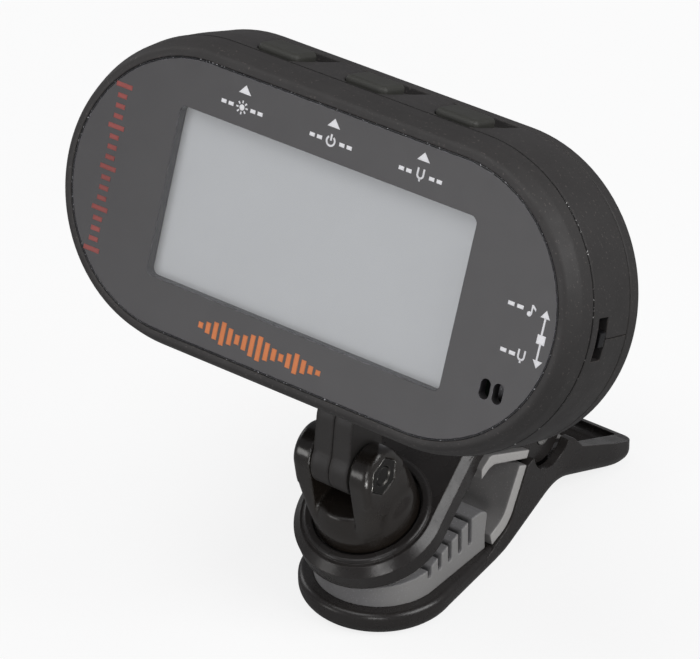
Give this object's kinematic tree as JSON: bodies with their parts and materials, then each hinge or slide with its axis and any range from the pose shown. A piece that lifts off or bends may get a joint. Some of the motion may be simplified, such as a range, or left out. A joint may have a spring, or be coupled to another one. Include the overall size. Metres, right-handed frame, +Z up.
{
  "type": "clip on tuner",
  "caption": "Pill-shaped instrument tuner with a grey display window, on a tilting and swivelling yoke above a spring clamp with ribbed rubber pads.",
  "frame": {"origin": "under the centre of the lower jaw's round end, on the plane its flat underside rests on", "axes": "+X across the clamp to the right seen from the front, +Y from the jaw tip back to the handles, +Z up; the display faces -Y"},
  "size_m": [0.0812, 0.069, 0.0818],
  "materials": {
    "shell_soft_touch": "soft-touch satin",
    "face_print": "printed satin",
    "clear_lens": "clear",
    "lcd": "reflective grey",
    "lcd_body": "diffuse white",
    "board": "solder mask",
    "chip_black": "moulded",
    "switch_black": "moulded",
    "button_rubber": "matte",
    "strip_rubber": "matte",
    "pad_rubber": "matte grey",
    "clamp_plastic": "satin moulded",
    "yoke_plastic": "gloss moulded",
    "holder_plastic": "moulded",
    "washer_nylon": "natural nylon",
    "steel": "zinc plated",
    "spring_steel": "drawn wire",
    "cell_steel": "nickel plated",
    "contact_brass": "plated",
    "ceramic": "fired"
  },
  "bodies": {
    "lower_jaw": {"lower_jaw": "clamp_plastic", "lower_pad": "pad_rubber", "throat_liner": "pad_rubber", "pivot_pin": "steel", "torsion_spring": "spring_steel"},
    "upper_jaw": {"upper_jaw": "clamp_plastic", "upper_pad": "pad_rubber"},
    "swivel": {"yoke": "yoke_plastic", "friction_washers": "washer_nylon", "tilt_screw": "steel", "tilt_nut": "steel", "swivel_washer": "steel", "swivel_screw": "steel"},
    "head": {"front_bezel": "shell_soft_touch", "main_shell": "shell_soft_touch", "back_cover": "shell_soft_touch", "face_panel": "face_print", "display_lens": "clear_lens", "lcd_glass": "lcd", "lcd_backlight": "lcd_body", "lcd_contact_strip": "strip_rubber", "circuit_board": "board", "main_chip": "chip_black", "tact_switches": "switch_black", "slide_switch_body": "steel", "microphone": "cell_steel", "piezo_plate": "contact_brass", "piezo_ceramic": "ceramic", "battery_cell": "cell_steel", "battery_holder": "holder_plastic", "battery_contacts": "contact_brass", "case_screws": "steel", "tongue_screws": "steel", "tongue_left": "clamp_plastic", "tongue_right": "clamp_plastic"},
    "button_left": {"button_left": "button_rubber"},
    "button_middle": {"button_middle": "button_rubber"},
    "button_right": {"button_right": "button_rubber"},
    "mode_switch": {"slide_switch_knob": "switch_black"},
    "battery_door": {"battery_door": "shell_soft_touch"}
  },
  "joints": [
    {"name": "clamp_open", "type": "hinge", "parent": "lower_jaw", "child": "upper_jaw", "pos_m": [0, 0.0274, 0.0138], "axis": [-1, 0, 0], "range_deg": [0, 40], "stiffness_Nm_per_rad": 0.12, "springref_deg": -24.98, "deforming": ["torsion_spring"]},
    {"name": "swivel_turn", "type": "hinge", "parent": "upper_jaw", "child": "swivel", "pos_m": [0, -0.0028, 0.0155], "axis": [0, -0.4067, 0.9135], "continuous": true},
    {"name": "head_tilt", "type": "hinge", "parent": "swivel", "child": "head", "pos_m": [0, -0.00731, 0.02564], "axis": [1, 0, 0], "range_deg": [-45, 75]},
    {"name": "button_left_press", "type": "slide", "parent": "head", "child": "button_left", "axis": [0, -0.3584, -0.9336], "range_m": [0, 0.0005], "stiffness_N_per_m": 3, "springref_m": -0.002},
    {"name": "button_middle_press", "type": "slide", "parent": "head", "child": "button_middle", "axis": [0, -0.3584, -0.9336], "range_m": [0, 0.0005], "stiffness_N_per_m": 3, "springref_m": -0.002},
    {"name": "button_right_press", "type": "slide", "parent": "head", "child": "button_right", "axis": [0, -0.3584, -0.9336], "range_m": [0, 0.0005], "stiffness_N_per_m": 3, "springref_m": -0.002},
    {"name": "mode_switch_slide", "type": "slide", "parent": "head", "child": "mode_switch", "axis": [0, 0.3584, 0.9336], "range_m": [-0.0013, 0.0013]},
    {"name": "battery_door_twist", "type": "hinge", "parent": "head", "child": "battery_door", "pos_m": [-0.015, -0.00131, 0.05805], "axis": [0, 0.9336, -0.3584], "range_deg": [0, 30]}
  ]
}
